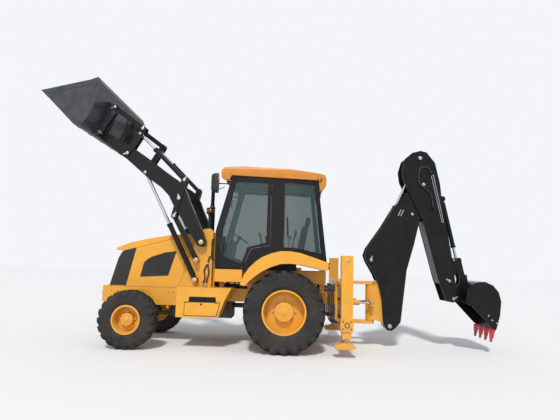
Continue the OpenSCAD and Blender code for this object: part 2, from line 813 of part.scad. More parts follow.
dipper_outline = [[2270, 3230], [2245, 3440], [2310, 3660], [2460, 3790], [2620, 3830],
    [2740, 3800], [2900, 3590], [2990, 3170], [3020, 2830], [3090, 2360], [3180, 1800],
    [3235, 1300], [3260, 960], [3240, 905], [3180, 890], [3050, 910], [2910, 1340],
    [2640, 2430]];

module dipper() {
    color("black") {
        both() difference() {
            side(dip_y - plate_t, dip_y) polygon(dipper_outline);
            shaft(O, pin_r + pin_gap, 0, 300);
        }
        side(-dip_y + plate_t - 1, dip_y - plate_t + 1) polygon([[2740, 3800], [2900, 3590],
            [2990, 3170], [3020, 2830], [3090, 2360], [3180, 1800], [3160, 1796], [3070, 2356],
            [3000, 2826], [2970, 3170], [2882, 3580], [2728, 3780]]);
        side(-dip_y + plate_t - 1, dip_y - plate_t + 1) polygon([[2645, 2430], [2915, 1340],
            [2950, 1240], [2968, 1246], [2935, 1346], [2665, 2436]]);
        shaft(H, pin_r, -dip_y, dip_y);
        both() shaft(H, pin_r + 14, dip_y - 1, dip_y + 8);
        both() shaft(J, pin_r + 14, dip_y - 1, dip_y + 8);
        both() shaft(J, pin_r + 14, 36, dip_y - plate_t + 1);
        shaft(Q, pin_r, -dip_y - 8, dip_y + 8);
        both() side(60, 76) polygon([U + [-110, 60], U + [20, 50], U + [45, 0], U + [20, -45],
            U + [-80, -60]]);
        shaft(U, pin_r, -76, 76);
    }
}

module dipper_barrel() {
    color("black") ram_barrel(R, J, 0, 1180, 50, 30, 28, 0);
}

module dipper_rod() {
    color("silver") ram_rod(R, J, 0, 935, 30, 28);
}

module crowd_barrel() {
    color("black") ram_barrel(U, V, 0, 975, 42, 26, 28, 0);
}

module crowd_rod() {
    color("silver") ram_rod(U, V, 0, 274, 26, 26);
}

module crowd_lever() {
    color("black") {
        both() difference() {
            side(119, 137) bar(Q, V, 100);
            shaft(Q, pin_r + pin_gap, 0, 300);
        }
        both() shaft(V, pin_r, 50, 120);
    }
}

module crowd_link() {
    color("black") both() difference() {
        side(90, 113) bar(V, W, 100);
        shaft(V, pin_r + pin_gap, 0, 300);
        shaft(W, pin_r + pin_gap, 0, 300);
    }
}

dig_outer = [[3345, 900], [3365, 1165], [3520, 1280], [3700, 1300], [3840, 1240], [3940, 1120],
    [3980, 950], [3950, 700], [3870, 440]];

module dig_bucket() {
    inner = [[3870, 440], [3850, 446], [3928, 704], [3958, 948], [3920, 1110], [3828, 1222],
        [3694, 1280], [3530, 1262], [3382, 1152], [3363, 900]];
    color("black") {
        side(-dig_w / 2, dig_w / 2) polygon(concat(dig_outer, inner));
        both() side(dig_w / 2 - 20, dig_w / 2) polygon(concat(dig_outer, [[3800, 470], [3450, 850]]));
        both() difference() {
            side(60, 82) polygon([O + [-20, -65], O + [30, -65], [3348, 902], [3368, 1164],
                [3512, 1276], [3490, 1420], W + [0, 60], W + [-50, 35], W + [-50, -30],
                O + [135, 290], O + [20, 150], O + [-55, 45], O + [-65, -20]]);
            shaft(O, pin_r + 8, 0, 300);
            shaft(W, pin_r - 10, 0, 300);
        }
        shaft(O, pin_r, -dip_y, dip_y);
        both() shaft(W, pin_r, 80, 116);
    }
}

module teeth() {
    color("crimson") for (i = [0:3])
        translate([0, (i - 1.5) * (dig_w - 120) / 3, 0]) side(-35, 35)
            polygon([[3870, 440], [3850, 446], [3790, 440], [3780, 215], [3800, 215]]);
}

put() chassis();
put() engine_block();
put() axles();
put() side_panels();
put() grilles();
put() side_boxes();
put() cab_floor();
put() fenders();
put() cab_frame();
put() cab_roof();
put() cab_glass();
put() console();
put() lamps();
put() mirrors();
put() stacks();
put() bonnet();
put() door(-1);  // door_left
put() door(1);  // door_right
put() door_glass(-1);  // door_glass_left
put() door_glass(1);  // door_glass_right
put() seat();
put() knuckle(-1);  // knuckle_left
put() knuckle(1);  // knuckle_right
put() rim(front_x, front_tyre_r, front_wheel_y, front_rim_r, front_tyre_w, -20, -1, 45 + pin_gap);  // rim_front_left
put() rim(front_x, front_tyre_r, front_wheel_y, front_rim_r, front_tyre_w, -20, 1, 45 + pin_gap);  // rim_front_right
put() rim(0, rear_tyre_r, rear_wheel_y, rear_rim_r, rear_tyre_w, -20, -1, 90 + pin_gap);  // rim_rear_left
put() rim(0, rear_tyre_r, rear_wheel_y, rear_rim_r, rear_tyre_w, -20, 1, 90 + pin_gap);  // rim_rear_right
put() tyre(front_x, front_tyre_r, -front_wheel_y, front_tyre_r, front_tyre_w, front_rim_r);  // tyre_front_left
put() tyre(front_x, front_tyre_r, front_wheel_y, front_tyre_r, front_tyre_w, front_rim_r);  // tyre_front_right
put() tyre(0, rear_tyre_r, -rear_wheel_y, rear_tyre_r, rear_tyre_w, rear_rim_r);  // tyre_rear_left
put() tyre(0, rear_tyre_r, rear_wheel_y, rear_tyre_r, rear_tyre_w, rear_rim_r);  // tyre_rear_right
put() loader_arms();
put() lift_barrels();
put() lift_rods();
put() level_levers();
put() level_links();
put() tilt_barrels();
put() tilt_rods();
put() tilt_levers();
put() tilt_links();
put() loader_bucket();
put() leg(-1);  // leg_left
put() leg(1);  // leg_right
put() carriage();
put() slew_post();
put() slew_rod(-1);  // slew_rod_left
put() slew_rod(1);  // slew_rod_right
put() boom();
put() boom_barrel();
put() boom_rod();
put() dipper();
put() dipper_barrel();
put() dipper_rod();
put() crowd_barrel();
put() crowd_rod();
put() crowd_lever();
put() crowd_link();
put() dig_bucket();
put() teeth();
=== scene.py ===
import json
import math

import bmesh
import bpy
from mathutils import Matrix, Vector


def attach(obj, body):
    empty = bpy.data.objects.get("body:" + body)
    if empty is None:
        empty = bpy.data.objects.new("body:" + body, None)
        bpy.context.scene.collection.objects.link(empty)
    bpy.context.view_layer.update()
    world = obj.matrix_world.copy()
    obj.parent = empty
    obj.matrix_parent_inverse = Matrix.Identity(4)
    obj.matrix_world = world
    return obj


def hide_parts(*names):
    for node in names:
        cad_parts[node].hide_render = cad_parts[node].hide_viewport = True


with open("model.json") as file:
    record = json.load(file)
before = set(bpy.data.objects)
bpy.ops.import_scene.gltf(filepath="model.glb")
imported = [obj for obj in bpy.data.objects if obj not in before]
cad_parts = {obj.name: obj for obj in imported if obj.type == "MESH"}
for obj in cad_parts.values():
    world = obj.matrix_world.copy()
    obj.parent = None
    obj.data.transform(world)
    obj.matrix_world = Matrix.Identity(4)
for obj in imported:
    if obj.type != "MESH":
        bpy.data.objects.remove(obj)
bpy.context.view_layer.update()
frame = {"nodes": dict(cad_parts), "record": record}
nodes = frame["nodes"]
SHIFT = 0.265  # the rear axle lies this far behind the frame's origin, in metres
SIDES = {-1: "left", 1: "right"}

# Camera, fitted to the photograph: angles in degrees, places in metres, lens and sensor in mm
PITCH, ROLL, YAW = 7.428, 1.626, 1.483
CAMERA_PLACE = (0.0717 + SHIFT, -8.3688, 1.5048)
LENS, SENSOR, FAR_CLIP = 27.07, 36, 300


def make_camera():
    cam = bpy.data.objects.new("camera", bpy.data.cameras.new("camera"))
    bpy.context.scene.collection.objects.link(cam)
    bpy.context.scene.camera = cam
    pitch, roll, yaw = (math.radians(a) for a in (PITCH, ROLL, YAW))
    turn = Matrix.Rotation(yaw, 3, "Z")
    ahead = turn @ Vector((0, math.cos(pitch), math.sin(pitch)))
    right = turn @ Vector((1, 0, 0))
    up = turn @ Vector((0, -math.sin(pitch), math.cos(pitch)))
    across = right * math.cos(roll) + up * math.sin(roll)
    upright = -right * math.sin(roll) + up * math.cos(roll)
    placed = Matrix((across, upright, -ahead)).transposed().to_4x4()
    placed.translation = Vector(CAMERA_PLACE)
    cam.matrix_world = placed
    cam.data.sensor_width = SENSOR
    cam.data.lens = LENS
    cam.data.clip_end = FAR_CLIP


# Materials
NOISE_LOW, NOISE_HIGH = 0.3, 0.7  # nearly all of a noise's values lie between these
DRIFT_SCALE = 6.0
DUST_TINT = (0.42, 0.30, 0.20)
DUST_ROUGHNESS = 0.85
COAT_ROUGHNESS = 0.12
BUMP_DEPTH = 0.004


class Graph:
    """Node tree of a material or a world, emptied and then built up."""

    def __init__(self, owner):
        owner.use_nodes = True
        self.nodes, self.links = owner.node_tree.nodes, owner.node_tree.links
        self.nodes.clear()

    def add(self, kind, inputs=(), **settings):
        """New node. Each input takes a value, or the output that feeds it."""
        node = self.nodes.new("ShaderNode" + kind)
        for key, value in settings.items():
            setattr(node, key, value)
        for key, value in dict(inputs).items():
            if isinstance(value, bpy.types.NodeSocket):
                self.links.new(value, node.inputs[key])
            else:
                node.inputs[key].default_value = value
        return node

    def place(self):
        return self.add("TexCoord").outputs["Object"]

    def noise(self, scale, detail=2, roughness=0.5):
        return self.add("TexNoise", {"Vector": self.place(), "Scale": scale, "Detail": detail,
                                     "Roughness": roughness}).outputs[0]

    def mapped(self, value, low, high, to_low=0, to_high=1):
        """Value with the range from low to high stretched to another range."""
        return self.add("MapRange", {"Value": value, "From Min": low, "From Max": high,
                                     "To Min": to_low, "To Max": to_high}).outputs[0]

    def product(self, a, b, clamp=False):
        return self.add("Math", {0: a, 1: b}, operation="MULTIPLY", use_clamp=clamp).outputs[0]

    def scaled(self, colour, factor):
        return self.add("VectorMath", {0: colour, "Scale": factor}, operation="SCALE").outputs[0]

    def surface(self, kind, inputs):
        self.add("OutputMaterial", {0: self.add(kind, inputs).outputs[0]})


def dust_share(g, dust, low, high):
    """Share of dust: it lies in blots, most of it low down and on faces that look up."""
    height = g.add("SeparateXYZ", {0: g.place()}).outputs["Z"]
    facing = g.add("SeparateXYZ", {0: g.add("NewGeometry").outputs["Normal"]}).outputs["Z"]
    blots = g.mapped(g.noise(3.5, 8, 0.65), 0.35, 0.68)
    share = g.product(g.mapped(height, low, high, 1, 0.12), blots)
    share = g.product(share, g.mapped(facing, -0.2, 1, 0.5, 1.3))
    return g.product(share, dust, clamp=True)


def node_mat(name, base, rough=0.5, metal=0.0, coat=0.0, spread=0.06, bump=0.0, bump_scale=60.0,
             dust=0.0, dust_low=0.0, dust_high=1.2, dust_tint=DUST_TINT, fine=0.0, shine=0.5):
    """Surface with broad colour drift, fine grain and dust that thins out with height."""
    mat = bpy.data.materials.new(name)
    g = Graph(mat)
    drift, grain = g.noise(DRIFT_SCALE, 6), g.noise(bump_scale, 4)
    colour = g.scaled(base, g.mapped(drift, NOISE_LOW, NOISE_HIGH, 1 - spread, 1 + spread))
    roughness = g.mapped(drift, NOISE_LOW, NOISE_HIGH, max(rough - 0.06, 0.02),
                         min(rough + 0.08, 1))
    if dust > 0:
        share = dust_share(g, dust, dust_low, dust_high)
        colour = g.add("Mix", {0: share, 6: colour, 7: (*dust_tint, 1)},
                       data_type="RGBA").outputs[2]
        roughness = g.add("Mix", {0: share, 2: roughness, 3: DUST_ROUGHNESS},
                          data_type="FLOAT").outputs[0]
    if fine > 0:
        colour = g.scaled(colour, g.mapped(grain, NOISE_LOW, NOISE_HIGH, 1 - fine, 1 + fine))
    inputs = {"Base Color": colour, "Roughness": roughness, "Metallic": metal,
              "Specular IOR Level": shine, "Coat Weight": coat, "Coat Roughness": COAT_ROUGHNESS}
    if bump > 0:
        inputs["Normal"] = g.add("Bump", {"Strength": bump, "Distance": BUMP_DEPTH,
                                          "Height": grain}).outputs[0]
    g.surface("BsdfPrincipled", inputs)
    return mat


def glass_mat():
    mat = bpy.data.materials.new("glass_tinted")
    g = Graph(mat)
    g.surface("BsdfPrincipled", {"Base Color": (0.035, 0.075, 0.068, 1), "Alpha": 0.42,
                                 "Roughness": g.mapped(g.noise(2.2), 0, 1, 0.02, 0.12)})
    return mat


def plain_mat(name, colour):
    mat = bpy.data.materials.new(name)
    Graph(mat).surface("BsdfDiffuse", {0: colour})
    return mat


MATS = {
    "yellow_paint": node_mat("paint_yellow", (0.74, 0.335, 0.022), 0.36, coat=0.25, spread=0.05,
                             bump=0.02, bump_scale=30, dust=0.45, dust_high=1.4, shine=0.35),
    "orange_paint": node_mat("paint_orange", (0.55, 0.19, 0.010), 0.38, coat=0.2, spread=0.06,
                             bump=0.02, bump_scale=30, dust=0.3, dust_low=1.0, dust_high=3.0,
                             shine=0.35),
    "black_paint": node_mat("paint_black", (0.006, 0.006, 0.007), 0.26, spread=0.3, bump=0.03,
                            bump_scale=40, dust=0.02, dust_high=5, shine=0.2),
    "bucket_grey": node_mat("steel_bucket", (0.034, 0.038, 0.043), 0.4, spread=0.3, bump=0.08,
                            bump_scale=30, dust=0.06, dust_high=5, fine=0.2, shine=0.4),
    "red_paint": node_mat("paint_red", (0.55, 0.02, 0.03), 0.45, spread=0.15, dust=0.3),
    "dark_iron": node_mat("iron_dark", (0.035, 0.034, 0.034), 0.6, spread=0.3, bump=0.3,
                          bump_scale=80, dust=0.5),
    "dark_plastic": node_mat("plastic_dark", (0.013, 0.013, 0.014), 0.5, spread=0.2, bump=0.15,
                             bump_scale=220, dust=0.08, dust_high=4, shine=0.35),
    "seat_fabric": node_mat("cloth_seat", (0.035, 0.035, 0.04), 0.9, spread=0.2, bump=0.6,
                            bump_scale=350, fine=0.3),
    "lamp_lens": node_mat("lens_clear", (0.75, 0.76, 0.78), 0.12, coat=0.8, spread=0.05),
    "chrome_rod": node_mat("rod_chrome", (0.46, 0.47, 0.48), 0.16, metal=1.0, spread=0.08,
                           bump=0.02, bump_scale=90),
    "tyre": node_mat("rubber_tyre", (0.016, 0.016, 0.016), 0.75, spread=0.25, bump=0.35,
                     bump_scale=120, dust=0.5, dust_high=2.0,
                     dust_tint=(0.13, 0.105, 0.085), fine=0.15, shine=0.3),
    "tinted_glass": glass_mat(),
}

# Materials of trim that looks unlike its slot's usual one
PIN = node_mat("pin_bright", (0.40, 0.40, 0.39), 0.36, metal=0.7, spread=0.2, bump=0.08)
PIPE = node_mat("pipe_plated", (0.36, 0.36, 0.37), 0.32, metal=0.75, spread=0.15, bump=0.04)
WORN = node_mat("steel_worn", (0.17, 0.165, 0.16), 0.4, metal=0.8, spread=0.25, bump=0.2,
                bump_scale=60, fine=0.2)
TAIL = node_mat("lens_red", (0.45, 0.02, 0.015), 0.2, coat=0.6, spread=0.1)
AMBER = node_mat("bowl_amber", (0.22, 0.055, 0.018), 0.2, coat=0.6, spread=0.25)
MIRROR = node_mat("mirror_silver", (0.8, 0.82, 0.84), 0.05, metal=1.0, spread=0.02)
HOSE = node_mat("hose_rubber", (0.02, 0.02, 0.022), 0.55, spread=0.2, bump=0.25, bump_scale=260,
                fine=0.2)

EDGE_ANGLE = 40  # degrees; sharper edges than this are rounded
PLATE_EDGE = 4  # mm


def round_edges(ob, width):
    """Small rounding, in mm, which catches the light as pressed and welded plate does."""
    bevel = ob.modifiers.new("edge", "BEVEL")
    bevel.width = width / 1000
    bevel.segments = 2
    bevel.limit_method = "ANGLE"
    bevel.angle_limit = math.radians(EDGE_ANGLE)


slots = {r["node"]: r["material_slot"] for r in frame["record"]["subparts"]}
for name, ob in nodes.items():
    ob.data.materials.clear()
    ob.data.materials.append(MATS[slots[name]])
    if slots[name] not in ("tinted_glass", "tyre"):
        round_edges(ob, PLATE_EDGE)


def at(x, y, z):
    """Place in the source's millimetres, from the ground under the rear axle."""
    return Vector((x / 1000 + SHIFT, y / 1000, z / 1000))


def off(x, y, z):
    """Offset in millimetres."""
    return Vector((x, y, z)) / 1000


def turns(count):
    """Angles that part a full turn evenly."""
    return [math.tau * k / count for k in range(count)]


class Piece:
    """Collects solids into one mesh and puts it on a body. Sizes are in millimetres."""

    def __init__(self, name, slot, body, mat=None):
        self.name, self.slot, self.body = name, slot, body
        self.mat = mat or MATS[slot]
        self.bm = bmesh.new()

    def loft(self, rings, closed=False):
        """Skin over rings of places with the same count; closed joins the last to the first."""
        n, rows = len(rings[0]), len(rings)
        new = [self.bm.verts.new(v) for ring in rings for v in ring]
        faces = [] if closed else [list(range(n))[::-1], [n * (rows - 1) + j for j in range(n)]]
        for k in range(rows if closed else rows - 1):
            a, b = n * k, n * ((k + 1) % rows)
            faces += [[a + j, a + (j + 1) % n, b + (j + 1) % n, b + j] for j in range(n)]
        for f in faces:
            self.bm.faces.new([new[i] for i in f])

    def prism(self, outline, y0, y1):
        """Side view outline of [x, z] places, drawn out across the width."""
        self.loft([[at(x, y, z) for x, z in outline] for y in (y0, y1)])

    def block(self, x0, x1, y0, y1, z0, z1):
        self.prism([(x0, z0), (x1, z0), (x1, z1), (x0, z1)], y0, y1)

    def lathe(self, origin, axis, profile, sides=32, ring=False):
        """Profile of (distance along the axis, radius) turned about an axis through origin."""
        axis = Vector(axis).normalized()
        side = axis.orthogonal().normalized()
        other = axis.cross(side)
        self.loft([[origin + (axis * along + (side * math.cos(a) + other * math.sin(a)) * radius)
                    / 1000 for a in turns(sides)] for along, radius in profile], closed=ring)

    def rod(self, a, b, radius, sides=12):
        d = b - a
        h = d.length * 1000
        edge = min(radius, h) * 0.2
        self.lathe(a, d, [(0, radius - edge), (edge, radius), (h - edge, radius),
                          (h, radius - edge)], sides)

    def tube(self, points, radius, sides=10):
        """Round tube along a list of points."""
        last = len(points) - 1
        up = Vector((0, 1, 0))
        rings = []
        for k, p in enumerate(points):
            d = (points[min(k + 1, last)] - points[max(k - 1, 0)]).normalized()
            side = d.cross(up)
            if side.length < 0.05:
                side = d.cross(Vector((1, 0, 0)))
            side.normalize()
            up = side.cross(d).normalized()
            rings.append([p + (side * math.cos(a) + up * math.sin(a)) * radius / 1000
                          for a in turns(sides)])
        self.loft(rings)

    def hex(self, p, axis, radius, height):
        """Bolt head or nut with a chamfered top."""
        self.lathe(p, axis, [(0, radius), (height * 0.8, radius), (height, radius * 0.85)], 6)

    def done(self, replaces=(), bevel=0.0, sharp=40):
        bmesh.ops.recalc_face_normals(self.bm, faces=self.bm.faces)
        mesh = bpy.data.meshes.new(self.name)
        self.bm.to_mesh(mesh)
        self.bm.free()
        mesh.shade_smooth()
        mesh.set_sharp_from_angle(angle=math.radians(sharp))
        ob = bpy.data.objects.new(self.name, mesh)
        bpy.context.scene.collection.objects.link(ob)
        mesh.materials.append(self.mat)
        if bevel:
            round_edges(ob, bevel)
        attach(ob, self.body)
        if replaces:
            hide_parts(*replaces)
        return ob


def smooth_path(points, steps=8):
    """Points along a smooth line through the given places."""
    p = [Vector(q) for q in points]
    out = []
    for i in range(len(p) - 1):
        a, b, c, d = p[max(i - 1, 0)], p[i], p[i + 1], p[min(i + 2, len(p) - 1)]
        for k in range(steps):
            t = k / steps
            out.append(0.5 * (2 * b + (c - a) * t + (2 * a - 5 * b + 4 * c - d) * t * t
                              + (3 * b - a - 3 * c + d) * t ** 3))
    out.append(p[-1])
    return out


# Outline of a rounded upright box, from -1 to 1 both ways
ROUNDED = [(math.copysign(abs(math.cos(a)) ** 0.5, math.cos(a)),
            math.copysign(abs(math.sin(a)) ** 0.35, math.sin(a)))
           for a in (math.tau * (i + 0.5) / 32 for i in range(32))]


# Wheels: place, radius, width, rim radius and lugs. Of the wall's outline, the bead is in heights
# above the rim, the wall in depths below the tread's crown, the bulge in shares of the width, and
# the toe in depths below the lugs' foot
WHEELBASE = 2710
REAR = {"x": 0, "y": 925, "r": 705, "w": 430, "rim": 368, "lugs": 22, "bar": 58, "deep": 34,
        "bead": (34, 40, 56, 60), "wall": (165, 130, 95), "bulge": (0.484, 0.480), "toe": (30, 8)}
FRONT = {"x": -WHEELBASE, "y": 920, "r": 500, "w": 320, "rim": 238, "lugs": 20, "bar": 46,
         "deep": 24, "bead": (30, 36, 50, 54), "wall": (125, 102, 72), "bulge": (0.486, 0.482),
         "toe": (24, 7)}
DISC_BACK, NUTS, HUB_BOLTS = 20, 8, 10
LUG_SWEEP, LUG_FLARE, LUG_OVERHANG = 1.55, 1.18, 0.028


def on_wheel(degrees, radius, across):
    """Offset from a wheel's middle, where 0 degrees is up."""
    a = math.radians(degrees)
    return off(math.sin(a) * radius, across, math.cos(a) * radius)


def tyre(name, mid, d):
    """Tyre with slanted lugs that wrap over its shoulders."""
    r, w, rim, deep = d["r"], d["w"], d["rim"], d["deep"]
    half = [(0.36, rim - 8), (0.36, rim + 13)]
    half += [(share, rim + h) for share, h in zip((0.43, 0.445, 0.452, 0.470), d["bead"])]
    half += [(share, r - h) for share, h in zip((*d["bulge"], 0.466), d["wall"])]
    half += [(share, r - deep - h) for share, h in zip((0.44, 0.38, 0.2), (*d["toe"], 1))]
    p = Piece("tread_" + name, "tyre", "wheel_" + name)
    p.lathe(mid, (0, 1, 0), [(-a * w, b) for a, b in half]
            + [(a * w, b) for a, b in reversed(half)], 96, ring=True)
    # stations of a lug: share of the width, foot radius, top radius, lag as a share of the pitch
    lug = [(-0.03, r - deep - 4, r - 3, 0), (0.14, r - deep - 5, r, 0.22),
           (0.30, r - deep - 8, r, 0.50), (0.43, r - deep - 30, r - 9, 0.60),
           (0.463, r - deep - 60, r - 40, 0.62),
           (0.472, r - deep * 2 - 62, r - deep * 2 - 50, 0.62)]
    pitch = 360 / d["lugs"]
    width = math.degrees(d["bar"] / r)
    for i in range(d["lugs"]):
        for hand in SIDES:
            start = pitch * (i + (0.5 if hand > 0 else 0))
            rows = []
            for k, (share, foot, top, lag) in enumerate(lug):
                middle = start + pitch * lag * LUG_SWEEP
                y = hand * share * w
                out = hand * (LUG_OVERHANG * w if k > 3 else 0)
                wide = width * (0.5 + 0.09 * k)
                rows.append([mid + on_wheel(*place) for place in (
                    (middle - wide * LUG_FLARE, foot, y), (middle - wide, top, y + out),
                    (middle + wide, top, y + out), (middle + wide * LUG_FLARE, foot, y))])
            p.loft(rows)
    p.done(replaces=["tyre_" + name], sharp=35)


def wheel_fittings(name, s, d):
    """Nuts on the wheel disc, the hub's cap with its bolts, and the valve."""
    rim = d["rim"]
    disc = at(d["x"], s * (d["y"] - DISC_BACK), d["r"])
    q = Piece("nuts_" + name, "yellow_paint", "wheel_" + name)
    for a in turns(NUTS):
        a += math.pi / 2
        q.lathe(disc + off(math.cos(a) * rim * 0.52, -3 * s, math.sin(a) * rim * 0.52), (0, s, 0),
                [(0, 24), (8, 24), (9, 17), (26, 17), (28, 12), (40, 12), (42, 9)], 12)
    hub = disc + off(0, s * 98, 0)
    q.lathe(hub, (0, s, 0), [(-6, rim * 0.19), (6, rim * 0.19), (10, rim * 0.17), (11, rim * 0.1),
                             (16, rim * 0.09), (18, rim * 0.07)], 40)
    for a in turns(HUB_BOLTS):
        q.hex(hub + off(math.cos(a) * rim * 0.31, -6 * s, math.sin(a) * rim * 0.31), (0, s, 0),
              9, 13)
    q.done()
    v = Piece("valve_" + name, "dark_plastic", "wheel_" + name)
    foot = at(d["x"] + rim * 0.62, s * (d["y"] + 4), d["r"] + rim * 0.44)
    v.rod(foot, foot + off(12, s * 50, 8), 5)
    v.done()


def wheel(which, s, d):
    name = "%s_%s" % (which, SIDES[s])
    tyre(name, at(d["x"], s * d["y"], d["r"]), d)
    wheel_fittings(name, s, d)


KEEPER_REACH, KEEPER_HALF, KEEPER_THICK = 72, 13, 5


def keeper(p, o, s, radius, degrees):
    """Plate with one bolt that stops a pin from turning."""
    a = math.radians(degrees)
    u = Vector((math.cos(a), 0, math.sin(a)))
    v = Vector((-math.sin(a), 0, math.cos(a)))
    root, end, tip = radius * 0.4, KEEPER_REACH, KEEPER_REACH + 9
    ring = [o + (u * along + v * (KEEPER_HALF * across)) / 1000 for along, across in (
        (root, 1), (end, 1), (tip, 0.5), (tip, -0.5), (end, -1), (root, -1))]
    lift = off(0, s * KEEPER_THICK, 0)
    p.loft([ring, [q + lift for q in ring]])
    p.hex(o + u * (KEEPER_REACH - 6) / 1000 + lift, (0, s, 0), 9, 7)


def pin_heads():
    """Bright pin heads. Rows: x, z, face the head sits on, radius, keeper's turn or None."""
    table = {
        "machine": [(-1560, 1880, 690, 34, None), (-1635, 1550, 690, 34, None),
                    (-1640, 1190, 690, 34, None)],
        "loader_arms": [(-2010, 2680, 707, 32, 100), (-3040, 3520, 700, 30, 200),
                        (-3610, 3930, 700, 30, 324), (-2680, 3160, 681, 28, None)],
        "level_levers": [(-1930, 3030, 696, 30, 60), (-2085, 2350, 696, 30, 60)],
        "tilt_levers": [(-2770, 4000, 720, 30, 60), (-2824, 3904, 696, 24, None)],
        "loader_bucket": [(-3340, 4410, 718, 30, 200)],
        "boom": [(2000, 410, 142, 38, None), (1650, 1650, 138, 30, 80),
                 (2450, 2560, 138, 26, None)],
        "dipper": [(2670, 3150, 173, 32, None), (2610, 3680, 173, 36, None),
                   (3130, 1290, 173, 26, 150)],
        "dig_bucket": [(3200, 960, 165, 26, 30)],
        "machine_leg": [(1060, 1610, 1172.5, 26, None)],
    }
    for name, rows in table.items():
        p = Piece("pins_" + name, "chrome_rod", name.split("_leg")[0], PIN)
        for x, z, y, r, tail in rows:
            for s in SIDES:
                o = at(x, s * (y - 1), z)
                p.lathe(o, (0, s, 0), [(0, r), (6, r), (8, r - 3), (8.2, r * 0.45), (5, r * 0.42),
                                       (4.6, r * 0.1)], 28)
                if tail is not None:
                    keeper(p, o, s, r, tail)
        p.done()


def lamps():
    """Work lamps in their housings, head lamps, tail lamps and roof markers."""
    body = Piece("lamp_housings", "dark_plastic", "machine")
    lens = Piece("lamp_lenses", "lamp_lens", "machine")
    red = Piece("lamp_tail_lenses", "lamp_lens", "machine", TAIL)
    marker = Piece("roof_markers", "lamp_lens", "machine", AMBER)
    for y in (-470, -330, 330, 470):
        for x, z, way in ((-1128, 3082, -1), (628, 2975, 1)):
            o = at(x, y, z)
            axis = Vector((way, 0, -0.28))
            body.lathe(o, axis, [(-52, 20), (-48, 34), (-20, 52), (26, 56), (40, 57), (40, 50),
                                 (30, 48)], 28)
            lens.lathe(o, axis, [(31, 47), (36, 47), (39, 30), (40, 10)], 28)
            # its bracket reaches the roof's underside
            body.block(x - 14, x + 14, y - 9, y + 9, z + 38, z + (62 if way < 0 else 58))
    for s in SIDES:
        o = at(-3430, 330 * s, 900)
        body.lathe(o, (1, 0, 0), [(0, 68), (4, 75), (20, 75)], 32)
        lens.lathe(o, (-1, 0, 0), [(-2, 64), (0, 62), (2, 40), (2.6, 12)], 32)
        body.block(738, 756, s * 1025 - 65, s * 1025 + 65, 1448, 1562)
        for k in range(3):
            z = 1455 + 36 * k
            part = red if k != 1 else lens
            part.block(755, 762, s * 1025 - 58, s * 1025 + 58, z, z + 32)
    for s in SIDES:
        o = at(590, 800 * s, 3062)
        body.lathe(o, (0, s, 0), [(-10, 46), (2, 46), (4, 42), (5, 38)], 28)
        marker.lathe(o, (0, s, 0), [(2, 40), (12, 39), (19, 30), (22, 12)], 28)
    marker.done()
    body.done(replaces=["lamps"], bevel=2)
    lens.done()
    red.done(bevel=2)


STACK_X, EXHAUST_Y, INTAKE_Y, STACK_FOOT = -1560, 290, 100, 2052
UP = (0, 0, 1)


def exhaust():
    pipe = Piece("exhaust", "black_paint", "machine")
    pipe.lathe(at(STACK_X, EXHAUST_Y, STACK_FOOT), UP,
               [(0, 66), (12, 66), (14, 50), (40, 50), (46, 58), (600, 58), (610, 50), (648, 40),
                (700, 38), (1010, 38), (1012, 42), (1026, 42)], 36)
    for k in range(9):
        pipe.lathe(at(STACK_X, EXHAUST_Y, 2110 + 62 * k), UP,
                   [(0, 58.5), (4, 61), (20, 61), (24, 58.5)], 36)
    pipe.done(replaces=["stacks"])


def air_intake():
    """Pipe with a dust bowl, the cage of bars round it, and the vanes inside."""
    base = Piece("air_intake", "dark_plastic", "machine")
    base.lathe(at(STACK_X, INTAKE_Y, STACK_FOOT), UP,
               [(0, 52), (10, 52), (12, 38), (400, 38), (404, 46), (430, 46), (440, 72),
                (452, 80), (462, 80)], 36)
    base.lathe(at(STACK_X, INTAKE_Y, 2596), UP, [(0, 79), (6, 82), (14, 78), (22, 50), (25, 12)],
               36)
    for a in turns(12):
        u = off(math.cos(a) * 80, math.sin(a) * 80, 0)
        base.rod(at(STACK_X, INTAKE_Y, 2512) + u, at(STACK_X, INTAKE_Y, 2598) + u, 2.5, 6)
    base.done()
    bowl = Piece("intake_bowl", "lamp_lens", "machine", AMBER)
    bowl.lathe(at(STACK_X, INTAKE_Y, 2513), UP, [(0, 72), (8, 77), (40, 76), (74, 70), (84, 62)],
               36)
    bowl.done()
    vane = Piece("intake_vane", "dark_plastic", "machine")
    for a in turns(8):
        u = Vector((math.cos(a), math.sin(a), 0))
        vane.rod(at(STACK_X, INTAKE_Y, 2530) + u * 0.012,
                 at(STACK_X, INTAKE_Y, 2580) + u * 0.05, 4, 6)
    vane.done()


# Padding: share of the height that the middle rises, and power of the rounded box
CROWN, SQUARENESS = 0.18, 7
GROOVE_HALF, GROOVE_DEEP = 0.09, 0.22


